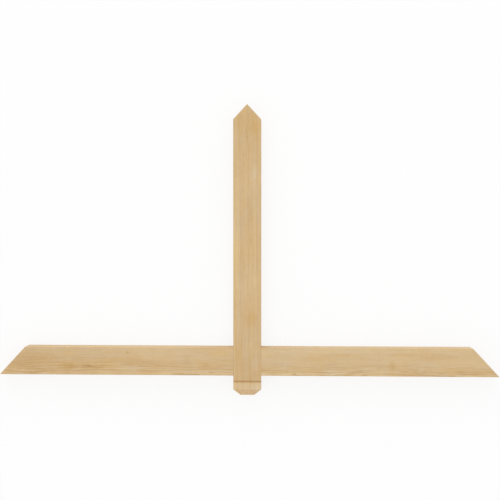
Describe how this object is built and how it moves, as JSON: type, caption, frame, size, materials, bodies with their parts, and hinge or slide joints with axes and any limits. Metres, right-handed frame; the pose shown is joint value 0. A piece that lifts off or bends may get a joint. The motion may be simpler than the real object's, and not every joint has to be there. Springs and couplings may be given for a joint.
{
  "type": "timber gable bracket",
  "caption": "Flat timber gable bracket: a king post with a pointed top and a grooved, bevelled foot, and a straight tie whose ends are cut to the roof pitch.",
  "frame": {"origin": "on the back face, where the king post's centre line crosses the line of the tie's underside", "axes": "+X along the tie to the right, +Y up the king post to the peak, +Z out of the front face; the bracket lies on its back"},
  "size_m": [1.8288, 1.0668, 0.0508],
  "materials": {
    "timber": "planed smooth, unfinished pale softwood"
  },
  "bodies": {
    "root": {"king_post": "timber", "tie_arm_left": "timber", "tie_arm_right": "timber"}
  },
  "joints": []
}
